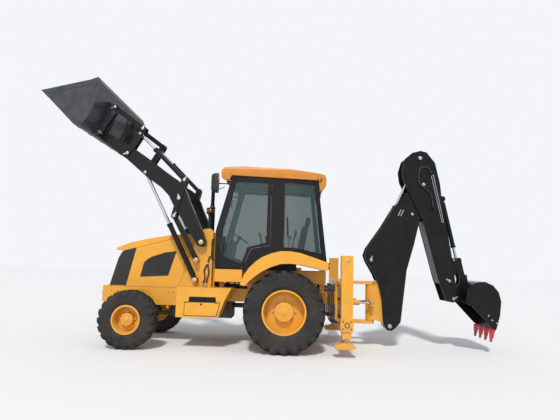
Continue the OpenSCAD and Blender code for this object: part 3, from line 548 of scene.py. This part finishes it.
def cushion(piece, centre, size, lean, seams=(), cuts=26):
    """Rounded, crowned pad with stitched grooves across it. Size is along x, y and z."""
    bm = piece.bm
    bmesh.ops.create_cube(bm, size=2)
    bmesh.ops.subdivide_edges(bm, edges=bm.edges[:], cuts=cuts, use_grid_fill=True)
    turn = Matrix.Rotation(math.radians(lean), 3, "Y")
    for v in bm.verts:
        reach = max(abs(c) for c in v.co)
        q = v.co / sum(abs(c) ** SQUARENESS for c in v.co) ** (1 / SQUARENESS) * reach
        top = max(0, q.z)
        puff = (1 - q.x ** 2 * 0.8) * (1 - q.y ** 2 * 0.8)
        q.z += CROWN * puff * (1 if q.z > 0 else 0.25) * (1 if q.z > -0.2 else 0)
        for kind, place in seams:
            d = abs((q.x if kind == "x" else q.y) - place)
            if d < GROOVE_HALF and q.z > 0.4:
                q.z -= GROOVE_DEEP * (1 - d / GROOVE_HALF) ** 1.4 * min(1, top)
        wave = math.sin(7.3 * q.x + 2.1 * q.y) * math.sin(5.9 * q.y - 1.3 * q.x)
        q.z += 0.018 * wave * top
        v.co = centre + turn @ off(q.x * size[0] / 2, q.y * size[1] / 2, q.z * size[2] / 2)


def seat():
    back_lean = -79
    for name, centre, size, lean, seams, cuts, replaced in (
            ("seat_cushion", at(45, 0, 1640), (490, 470, 116), 4,
             [("x", -0.45), ("x", 0.35), ("y", -0.62), ("y", 0.62)], 26, ["seat"]),
            ("seat_backrest", at(318, 0, 1985), (590, 460, 118), back_lean,
             [("x", -0.4), ("x", 0.2), ("y", -0.6), ("y", 0.6)], 26, []),
            ("seat_headrest", at(418, 0, 2365), (170, 262, 84), back_lean, [], 16, [])):
        pad = Piece(name, "seat_fabric", "seat")
        cushion(pad, centre, size, lean, seams, cuts)
        pad.done(replaces=replaced, sharp=70)
    shell = Piece("seat_frame", "dark_plastic", "seat")
    shell.lathe(at(60, 0, 1461), UP, [(0, 112), (14, 112), (18, 90), (24, 90), (30, 70),
                                      (96, 70), (104, 120)], 32)
    shell.block(-185, 270, -200, 200, 1562, 1592)
    shell.prism([(268, 1575), (300, 1575), (424, 2250), (402, 2262)], -190, 190)
    for s in SIDES:
        shell.rod(at(392, 60 * s, 2240), at(425, 60 * s, 2420), 7)
        rest = 236 * s
        shell.prism([(-60, 1760), (190, 1772), (196, 1806), (-60, 1800)], rest - 22, rest + 22)
        shell.rod(at(150, rest, 1580), at(150, rest, 1780), 12)
    shell.done(bevel=4)


LEVER_FOOT = 1795


def interior():
    """Levers, the steering wheel's hub, pedals and gauges."""
    p = Piece("levers", "dark_plastic", "machine")
    knob = Piece("lever_knobs", "black_paint", "machine")
    for x, y, lean, tall in ((-480, 540, -60, 250), (-400, 540, -40, 240), (120, 520, 50, 300),
                             (120, -520, 50, 300), (40, 540, 30, 260), (-440, -540, -50, 240)):
        foot = at(x, y, LEVER_FOOT)
        top = at(x + lean, y * 0.94, LEVER_FOOT + tall)
        p.tube(smooth_path([foot, foot.lerp(top, 0.5) + off(-10, 0, 20), top], 5), 8)
        p.lathe(foot, UP, [(0, 46), (8, 44), (22, 34), (30, 26), (44, 16), (52, 12)], 20)
        knob.lathe(top - off(0, 0, 10), top - foot, [(0, 10), (8, 20), (34, 24), (60, 20),
                                                     (72, 8)], 18)
    p.lathe(at(-925, 0, 2030), (0.5, 0, 0.866), [(0, 40), (10, 46), (18, 40), (20, 12)], 28)
    for y in (-150, -60, 120):
        p.prism([(-1040, 1310), (-985, 1262), (-975, 1272), (-1032, 1330)], y - 38, y + 38)
    for y in (-150, 0, 150):
        p.lathe(at(-1041, y, 1840), (1, 0, 0.25), [(0, 52), (8, 52), (10, 44), (5, 42)], 28)
    p.done(bevel=2)
    knob.done()


WINDOW_Y = 734


def window_seals():
    rubber = Piece("window_seals", "dark_plastic", "machine")
    for s in SIDES:
        pane = [(-60, 1820), (250, 1800), (640, 1720), (500, 2985), (-60, 3020)]
        rubber.tube([at(x, s * WINDOW_Y, z) for x, z in pane + pane[:1]], 9, 6)
    rubber.tube([at(x, y, z) for x, y, z in ((-1284, -694, 1510), (-1286, -694, 2080),
                                             (-1046, -694, 3034), (-1046, 694, 3034),
                                             (-1286, 694, 2080), (-1284, 694, 1510),
                                             (-1284, -694, 1510))], 8, 6)
    rubber.done()


def door_trim():
    """Seals, handles, locks and hinges of the doors."""
    for s, side in SIDES.items():
        seal = Piece("door_seal_" + side, "dark_plastic", "door_" + side)
        pane = [(-1150, 1640), (-800, 1500), (-690, 1800), (-350, 1900), (-350, 3000),
                (-950, 3020), (-1165, 2100)]
        seal.tube([at(x, s * WINDOW_Y, z) for x, z in pane + pane[:1]], 8, 6)
        seal.done()
        lock = Piece("door_handle_" + side, "dark_plastic", "door_" + side)
        lock.tube(smooth_path([at(-1128, s * 757, 1760), at(-1132, s * 800, 1780),
                               at(-1140, s * 812, 1860), at(-1150, s * 800, 1940),
                               at(-1150, s * 757, 1962)], 6), 13)
        lock.prism([(-1185, 1730), (-1080, 1730), (-1092, 1990), (-1178, 1990)], s * 760 - 4,
                   s * 760 + 4)
        lock.lathe(at(-1135, s * 762, 1700), (0, s, 0), [(0, 20), (8, 20), (10, 15), (11, 4)], 20)
        for z in (1960, 2840):
            lock.block(-296, -262, s * 764 - 9, s * 764 + 9, z, z + 130)
        lock.done(bevel=3)


def wipers():
    wiper = Piece("wipers", "dark_plastic", "machine")
    wiper.tube(smooth_path([at(-1060, 40, 3050), at(-1110, 60, 2960), at(-1186, 120, 2560),
                            at(-1262, 150, 2260)], 6), 8)
    wiper.tube([at(-1182, 40, 2580), at(-1240, 150, 2350), at(-1294, 210, 2120)], 6)
    wiper.tube(smooth_path([at(578, -60, 2990), at(600, -80, 2900), at(632, -240, 2560),
                            at(660, -330, 2300)], 6), 8)
    wiper.tube([at(610, -150, 2760), at(646, -270, 2420), at(672, -330, 2200)], 6)
    wiper.block(560, 590, -110, -10, 2960, 3010)
    wiper.done()


def rails_and_liner():
    rail = Piece("grab_rails", "black_paint", "machine")
    for s in SIDES:
        rail.tube(smooth_path([at(-1290, s * 740, 1560), at(-1330, s * 752, 1590),
                               at(-1334, s * 752, 1900), at(-1296, s * 740, 1935)], 6), 13)
        rail.tube(smooth_path([at(30, s * 752, 2040), at(30, s * 800, 2070), at(14, s * 800, 2330),
                               at(8, s * 752, 2360)], 6), 12)
    rail.done()
    top = Piece("roof_liner", "dark_plastic", "machine")
    top.prism([(-1010, 3086), (548, 3028), (548, 3046), (-1010, 3104)], -698, 698)
    top.done()


def mirrors():
    shell = Piece("mirror_shells", "dark_plastic", "machine")
    glass = Piece("mirror_glass", "chrome_rod", "machine", MIRROR)
    for s in SIDES:
        middle = at(-1300, 945 * s, 2935)
        shell.loft([[middle + Vector((-reach, wide * 85 * c, tall * 175 * e)) / 1000
                     for c, e in ROUNDED] for reach, wide, tall in
                    ((-62, 1, 1), (-52, 1.02, 1.01), (-10, 1, 1), (30, 0.92, 0.95), (52, 0.8, 0.88),
                     (62, 0.6, 0.75))])
        glass.loft([[middle + Vector((reach, wide * 76 * c, wide * 164 * e)) / 1000
                     for c, e in ROUNDED] for reach, wide in ((62.5, 1), (64, 1), (65, 0.97))])
        shell.tube(smooth_path([at(-1290, s * 900, 2960), at(-1272, s * 840, 2962),
                                at(-1240, s * 782, 2960), at(-1140, s * 772, 2958),
                                at(-1036, s * 770, 2960)], 5), 11)
        shell.tube([at(-1290, s * 890, 2800), at(-1150, s * 772, 2900)], 7)
        shell.block(-1075, -1035, s * 768 - 8, s * 768 + 8, 2925, 2992)
    shell.done(replaces=["mirrors"], sharp=50)
    glass.done()
    inner = Piece("inner_mirror", "dark_plastic", "machine")
    inner.block(-1010, -992, 60, 260, 2870, 2950)
    inner.rod(at(-1000, 160, 2950), at(-990, 160, 3050), 7)
    inner.done(bevel=6)


BONNET_Y, BOX_Y = 430.6, 951


def panel_seams():
    p = Piece("panel_seams", "dark_plastic", "machine")
    for s in SIDES:
        y = s * BONNET_Y
        p.tube([at(x, y, z) for x, z in ((-2990, 1000), (-2836, 1752))], 2.2, 6)
        p.tube([at(x, y, z) for x, z in ((-2000, 1035), (-1905, 1300), (-1905, 1930))], 2.2, 6)
        p.tube([at(x, y, z) for x, z in ((-3290, 1033), (-2030, 1033))], 2.2, 6)
        for x in (-3240, -3110, -2080, -2160, -1960):
            p.hex(at(x, s * 429, 940), (0, s, 0), 9, 6)
    p.done()


def side_box_trim():
    """Step treads over the side boxes, the boxes' lids, and the gaps round them."""
    step = Piece("step_treads", "black_paint", "machine")
    box = Piece("side_box_lids", "yellow_paint", "machine")
    gap = Piece("side_box_gaps", "dark_plastic", "machine")
    for s in SIDES:
        y = s * BOX_Y
        step.prism([(-1664, 852), (-1184, 852), (-1196, 916), (-1652, 916)], y - 2 * s, y + 2 * s)
        for k in range(24):
            x = -1655 + 19.4 * k
            step.prism([(x, 838), (x + 14, 838), (x + 11, 872), (x + 3, 872)], y - 2 * s, y + 9 * s)
        step.block(-1662, -1190, y - 2 * s, y + 10 * s, 830, 842)
        gap.prism([(-1738, 586), (-1166, 586), (-1108, 826), (-1738, 826)], y - 2 * s, y + 2 * s)
        box.prism([(-1728, 596), (-1173, 596), (-1119, 818), (-1728, 818)], y - s, y + 14 * s)
        gap.lathe(at(-1440, y + s * 13, 790), (0, s, 0), [(0, 18), (5, 18), (7, 13), (8, 4)], 20)
        for x in (-1700, -1180):
            gap.block(x - 26, x + 26, y - 4 * s, y + 17 * s, 812, 824)
    step.done()
    box.done(bevel=5)
    gap.done(bevel=1)


def vents():
    """Screens in the bonnet's sides, and bars behind the grille."""
    screen = Piece("vent_screens", "dark_plastic", "machine")
    for s in SIDES:
        screen.prism([(-2721, 1214), (-2199, 1249), (-2066, 1706), (-2270, 1674), (-2509, 1595),
                      (-2598, 1544), (-2666, 1478)], s * 413, s * 416)
    screen.done()
    mesh = Piece("grille_mesh", "dark_plastic", "machine")
    for k in range(30):
        y = -400 + 27.5 * k
        mesh.tube([at(-3243, y, 1010), at(-3115, y, 1545), at(-3068, y, 1655)], 2.4, 5)
    for k in range(22):
        z = 1030 + 28 * k
        x = -3243 + (z - 1010) * 0.24 + max(0, z - 1545) * 0.19
        mesh.tube([at(x, -410, z), at(x, 410, z)], 2.4, 5)
    mesh.done()


def bonnet_trim():
    lid = Piece("bonnet_catch", "dark_plastic", "bonnet")
    lid.block(-3214, -3196, -45, 45, 1712, 1738)
    for s in SIDES:
        lid.block(-2030, -1996, 300 * s - 30, 300 * s + 30, 2018, 2036)
    lid.done(bevel=3)


def frame_bolts():
    p = Piece("frame_bolts", "dark_iron", "machine")
    for s in SIDES:
        for x in (-1185, -655, 685):
            for dx in (-24, 24):
                p.hex(at(x + dx, s * 416, 985), (0, s, 0), 12, 9)
        for x, z in ((985, 480), (1120, 480), (985, 600), (1120, 600)):
            p.hex(at(x, s * 1171, z), (0, s, 0), 14, 9)
        p.lathe(at(1055, s * 1178, 540), (0, s, 0), [(-2, 44), (2, 44), (2, 30), (-1, 26)], 28)
    for y in (-240, -120, 120, 240):
        for z in (500, 1200):
            p.hex(at(1092, y, z), (1, 0, 0), 14, 10)
    p.done()


def leg_trim():
    """Wear plates at the legs' sleeves, and the feet with their ribs and pins."""
    plate = Piece("leg_wear_plates", "dark_iron", "machine")
    for s in SIDES:
        plate.block(949, 951, s * 1090 - 70, s * 1090 + 70, 660, 700)
    plate.done()
    for s, side in SIDES.items():
        foot = Piece("leg_foot_" + side, "yellow_paint", "leg_" + side)
        for x in (905, 1145):
            foot.prism([(x - 26, 186), (x + 26, 186), (x + 8, 250), (x - 8, 250)],
                       s * 1085 - 6, s * 1085 + 6)
        for k in range(5):
            foot.block(880 + 62 * k, 892 + 62 * k, s * 1080 - 88, s * 1080 + 88, 144, 152)
        foot.done(bevel=2)
        head = Piece("leg_pin_" + side, "chrome_rod", "leg_" + side, PIN)
        head.rod(at(1052, s * 1010, 282), at(1052, s * 1156, 282), 20, 20)
        head.done()


BEAM_X, BEAM_Z = 1000, 500  # lower beam's front face and height, where the rear hoses end
PIPES_Y = 352


def valve_bank():
    """Bank of spool valves on the frame's rear, with the hoses down to the lower beam."""
    bank = Piece("valve_bank", "dark_iron", "machine")
    caps = Piece("valve_caps", "chrome_rod", "machine", PIPE)
    bank.block(775, 955, -385, 385, 1000, 1030)
    for k in range(9):
        y = -336 + 84 * k
        bank.block(785, 945, y - 34, y + 34, 1028, 1128)
        bank.rod(at(865, y, 1124), at(865, y, 1168), 20, 16)
        for x, way in ((785, -1), (945, 1)):
            caps.hex(at(x, y, 1076), (way, 0, 0), 17, 20)
    for s, side in SIDES.items():
        for k in range(4):
            x, y = 798 + 30 * k, s * (490 + 26 * k)
            caps.hex(at(x, s * 368, 1085), (0, s, 0), 14, 26)
            caps.hex(at(BEAM_X + 1, y, BEAM_Z), (-1, 0, 0), 14, 26)
            hose("hose_rear_%s_%d" % (side, k + 1), "machine",
                 [(x, s * 380, 1085), (x, y, 1085), (x, y, BEAM_Z), (BEAM_X, y, BEAM_Z)], bend=104)
    bank.done(bevel=3)
    caps.done()


def frame_pipes():
    pipes = Piece("frame_pipes", "black_paint", "machine")
    for s in SIDES:
        y = s * PIPES_Y
        for z in (1024, 1058, 1092, 1126):
            pipes.rod(at(-1145, y, z), at(645, y, z), 13, 12)
        for x in (-950, -450, -100, 300):
            pipes.block(x - 12, x + 12, y - 18, y + 18, 996, 1146)
    pipes.done(bevel=2)


# Loader bucket's floor in side view: its front tip, and the unit step back along it
FLOOR_TIP = (-4470, 4500)
FLOOR_BACK = (0.7159, -0.6983)
FLOOR_UP = (0.698, 0, 0.716)
FLOOR_HALF = 1168
ARM_PIPES_Y = 556


def floor_place(back, inward):
    """Place on the bucket's floor: back from its mouth, and inward from its underside."""
    (x, z), (dx, dz) = FLOOR_TIP, FLOOR_BACK
    return x + dx * back - dz * inward, z + dz * back + dx * inward


def loader_bucket_trim():
    """Side strips, the floor plate that runs on to the mouth, wear bars, ribs and edge."""
    b = Piece("bucket_strips", "bucket_grey", "loader_bucket")
    for s in SIDES:
        y = s * 1177
        b.prism([(-4508, 4529), (-4440, 4470), (-3640, 4640), (-3560, 4560), (-3434, 4702),
                 (-3480, 4798), (-3622, 4744)], y - 2.5, y + 2.5)
    b.prism([floor_place(t, o) for t, o in ((10, 1), (10, 19), (480, 19), (480, 1))],
            2 - FLOOR_HALF, FLOOR_HALF - 2)
    for y in (-960, -480, 0, 480, 960):
        b.prism([floor_place(t, o) for t, o in ((152, 2), (160, -11), (835, -11), (848, 2))],
                y - 60, y + 60)
    for y in (-300, 300):
        b.prism([(-3640, 4010), (-3560, 4160), (-3500, 4330), (-3455, 4600), (-3440, 4592),
                 (-3482, 4326), (-3540, 4154), (-3622, 4000)], y - 9, y + 9)
    b.done(bevel=2)
    edge = Piece("bucket_edge", "chrome_rod", "loader_bucket", WORN)
    edge.prism([(-4509.5, 4530)] + [floor_place(t, o) for t, o in (
        (0, -5), (140, -5), (147, 1), (147, 24), (12, 24))] + [(-4488, 4534)],
        -FLOOR_HALF, FLOOR_HALF)
    x, z = floor_place(95, 24)
    for k in range(12):
        edge.hex(at(x, -1045 + 190 * k, z), FLOOR_UP, 15, 8)
    edge.done()


def loader_arm_trim():
    """Two pipes along each arm, held by clamps."""
    arm = Piece("arm_fittings", "black_paint", "loader_arms")
    for s in SIDES:
        for x, z in ((-1900, 2760), (-2240, 3120), (-2600, 3340)):
            arm.block(x - 22, x + 22, s * 566 - 16, s * 566 + 4, z - 14, z + 14)
        for route, (end_x, end_z) in (
                ([(-1600, 2040), (-1822, 2480), (-1905, 2760), (-2030, 2960), (-2240, 3120),
                  (-2600, 3340)], (-2680, 3390)),
                ([(-1630, 2010), (-1852, 2460), (-1935, 2740), (-2055, 2925), (-2260, 3088),
                  (-2620, 3306)], (-2700, 3356))):
            arm.tube(smooth_path([at(x, s * ARM_PIPES_Y, z) for x, z in route]
                                 + [at(end_x, s * (ARM_PIPES_Y + 16), end_z)]), 9)
    arm.done()


DIPPER_PIPES_Y, BOOM_Y, DIG_WIDTH, TEETH, TOOTH_MARGIN = 177, 133, 780, 4, 60


def dipper_trim():
    """Two pipes down each side of the dipper, their clips, and the side bosses."""
    pipes = Piece("dipper_pipes", "chrome_rod", "dipper", PIPE)
    clips = Piece("dipper_clips", "black_paint", "dipper")
    for s in SIDES:
        y = s * DIPPER_PIPES_Y
        for shift in (0, 42):
            pipes.tube([at(2810 + shift, s * 160, 3352), at(2814 + shift, y, 3334),
                        at(2828 + shift, y, 3280), at(3002 + shift * 0.7, y, 2430),
                        at(3006 + shift * 0.7, s * 160, 2406)], 9)
        for x, z in ((2852, 3160), (2910, 2880), (2966, 2600)):
            clips.block(x - 22, x + 62, s * 170 - 8, s * 170 + 8, z - 15, z + 15)
            clips.hex(at(x + 20, y, z), (0, s, 0), 9, 13)
        clips.lathe(at(2716, s * 165, 2790), (0, s, 0), [(-1, 30), (8, 30), (10, 24)], 24)
    pipes.done()
    clips.done(bevel=2)


def boom_trim():
    clamp = Piece("boom_clips", "chrome_rod", "boom", PIPE)
    for s in SIDES:
        for dx in (-26, 26):
            clamp.rod(at(2200 + dx, s * 128, 2520), at(2250 + dx, s * 150, 2640), 13, 16)
    clamp.done()
    plate = Piece("boom_plates", "black_paint", "boom")
    for s in SIDES:
        for outline in ([(1900, 390), (2090, 430), (2130, 640), (1880, 700), (1868, 560)],
                        [(1560, 1640), (1700, 1560), (1780, 1700), (1720, 1850), (1600, 1830)]):
            plate.prism(outline, s * BOOM_Y - 4, s * BOOM_Y + 4)
    plate.done(bevel=3)


def tooth(part, rows, y):
    """Tapered solid over rows of: z, back x, front x, half width."""
    part.loft([[at(x0, y - h, z), at(x1, y - h * 0.8, z), at(x1, y + h * 0.8, z),
                at(x0, y + h, z)] for z, x0, x1, h in rows])


def dig_bucket_trim():
    """Teeth in their adapters, bolts, side cutters and wear ribs."""
    tip = Piece("tooth_tips", "chrome_rod", "dig_bucket", WORN)
    bolt = Piece("bucket_bolts", "chrome_rod", "dig_bucket", PIN)
    red = Piece("tooth_adapters", "red_paint", "dig_bucket")
    for k in range(TEETH):
        y = (k - (TEETH - 1) / 2) * (DIG_WIDTH - 2 * TOOTH_MARGIN) / (TEETH - 1)
        tooth(red, [(455, 3800, 3878, 40), (440, 3786, 3874, 42), (400, 3782, 3858, 40),
                    (330, 3780, 3838, 36), (300, 3779, 3832, 33), (296, 3781, 3828, 28),
                    (250, 3779, 3812, 26)], y)
        tooth(tip, [(254, 3778, 3814, 27), (226, 3778, 3804, 24), (215.5, 3781, 3798, 20)], y)
        red.prism([(3846, 436), (3884, 452), (3906, 520), (3890, 524), (3862, 470)],
                  y - 26, y + 26)
        bolt.hex(at(3830, y - 37, 388), (0, -1, 0), 11, 8)
    for s in SIDES:
        for x, z in ((3800, 610), (3880, 560), (3740, 690)):
            bolt.hex(at(x, s * (DIG_WIDTH / 2 - 1), z), (0, s, 0), 17, 11)
    tip.done(bevel=2)
    bolt.done()
    red.done(replaces=["teeth"], bevel=4)
    side = Piece("side_cutters", "black_paint", "dig_bucket")
    for s in SIDES:
        y = s * (DIG_WIDTH / 2 + 3)
        side.prism([(3868, 442), (3800, 470), (3440, 858), (3470, 900), (3700, 700),
                    (3890, 620)], y - 5, y + 5)
    for y in (-300, -100, 100, 300):
        side.prism([(3842, 1244), (3944, 1122), (3979, 950), (3976, 948), (3934, 1112),
                    (3834, 1234)], y - 35, y + 35)
    side.done(bevel=2)


BEND_STEPS = 7


def bent_path(places, bend):
    """Straight runs between the places, with each corner rounded to the bend radius in mm."""
    p = [at(*q) for q in places]
    r = bend / 1000
    out = [p[0]]
    for a, b, c in zip(p, p[1:], p[2:]):
        u, v = (a - b).normalized(), (c - b).normalized()
        half = (math.pi - u.angle(v)) / 2
        centre = b + (u + v).normalized() * (r / math.cos(half))
        first = b + u * (r * math.tan(half)) - centre
        last = b + v * (r * math.tan(half)) - centre
        # slerp gives directions, so the radius comes back in here
        out += [centre + r * first.slerp(last, k / BEND_STEPS) for k in range(BEND_STEPS + 1)]
    out.append(p[-1])
    return out


def hose(name, body, places, radius=12, bend=110):
    """A hose held at both ends by ports or fittings of the body that it rides on."""
    path = bent_path(places, bend)
    p = Piece(name, "dark_plastic", body, HOSE)
    p.tube(path, radius, 12)
    p.done(sharp=60)


def hoses():
    ends = Piece("hose_ends", "chrome_rod", "machine", PIPE)
    blocks = Piece("hose_blocks", "black_paint", "dipper")
    for s, side in SIDES.items():
        y = s * 186
        hose("hose_dipper_" + side, "dipper",
             [(2812, y, 3352), (2775, y, 3520), (2580, y, 3480), (2560, y, 3180), (2810, y, 2960),
              (2835, y, 2690)], radius=13, bend=105)
        blocks.block(2796, 2830, s * 162, s * 204, 3334, 3372)
        blocks.block(2818, 2854, s * 162, s * 204, 2664, 2706)
        y = s * 574
        hose("hose_tower_" + side, "machine",
             [(-1440, y, 1490), (-1500, y, 1370), (-1470, y, 1230), (-1510, y, 1120)])
        hose("hose_return_" + side, "machine",
             [(-1400, y, 1640), (-1440, y, 1500), (-1405, y, 1330), (-1450, y, 1120)])
        for x, z in ((-1440, 1496), (-1510, 1112), (-1400, 1648), (-1450, 1112)):
            ends.block(x - 18, x + 18, s * 548, s * 592, z - 18, z + 18)
    for name, y, top, low in (("hose_post", 60, 1010, 740), ("hose_post_low", -60, 960, 690)):
        hose(name, "carriage", [(1094, y, top), (1214, y, top), (1214, y, low), (1094, y, low)])
    ends.done(bevel=3)
    blocks.done(bevel=3)


for s in SIDES:
    wheel("rear", s, REAR)
    wheel("front", s, FRONT)
pin_heads()
lamps()
exhaust()
air_intake()
seat()
interior()
window_seals()
door_trim()
wipers()
rails_and_liner()
mirrors()
panel_seams()
side_box_trim()
vents()
bonnet_trim()
frame_bolts()
leg_trim()
valve_bank()
frame_pipes()
loader_bucket_trim()
loader_arm_trim()
dipper_trim()
boom_trim()
dig_bucket_trim()
hoses()


# Floor, backdrop and light; angles in degrees, places and sizes in metres
FLOOR_SIZE, FLOOR_COLOUR = 140, (0.80, 0.79, 0.77, 1)
BACKDROP, BACKDROP_STRENGTH = (0.90, 0.92, 0.95, 1), 1
SKY, SKY_STRENGTH = (0.86, 0.92, 1.0, 1), 0.62
SUN_STRENGTH, SUN_SPREAD, SUN_TURN = 2.3, 6, (38, -14, 12)
FILL_STRENGTH, FILL_SIZE, FILL_PLACE, FILL_TURN = 260, 10, (-4, -14, 6), (68, 0, -16)


def light(name, kind, strength, turn):
    ob = bpy.data.objects.new(name, bpy.data.lights.new(name, kind))
    ob.data.energy = strength
    ob.rotation_euler = [math.radians(a) for a in turn]
    bpy.context.scene.collection.objects.link(ob)
    return ob


def stage_and_light():
    bpy.ops.mesh.primitive_plane_add(size=FLOOR_SIZE, location=(0, 0, 0))
    floor = bpy.context.object
    floor.name = "floor"
    floor.data.materials.append(plain_mat("floor_pale", FLOOR_COLOUR))
    world = bpy.data.worlds.new("world")
    bpy.context.scene.world = world
    g = Graph(world)
    seen = g.add("Background", {0: BACKDROP, 1: BACKDROP_STRENGTH})
    lit = g.add("Background", {0: SKY, 1: SKY_STRENGTH})
    rays = g.add("LightPath").outputs
    # the camera, metal and glass see the backdrop, and the sky lights the object
    share = rays["Is Camera Ray"]
    for ray in ("Is Glossy Ray", "Is Transmission Ray"):
        share = g.add("Math", {0: share, 1: rays[ray]}, operation="MAXIMUM").outputs[0]
    mix = g.add("MixShader", {0: share, 1: lit.outputs[0], 2: seen.outputs[0]})
    g.add("OutputWorld", {0: mix.outputs[0]})
    light("sun", "SUN", SUN_STRENGTH, SUN_TURN).data.angle = math.radians(SUN_SPREAD)
    fill = light("fill", "AREA", FILL_STRENGTH, FILL_TURN)
    fill.data.size = FILL_SIZE
    fill.location = FILL_PLACE


make_camera()
stage_and_light()
bpy.context.scene.view_settings.view_transform = "Standard"
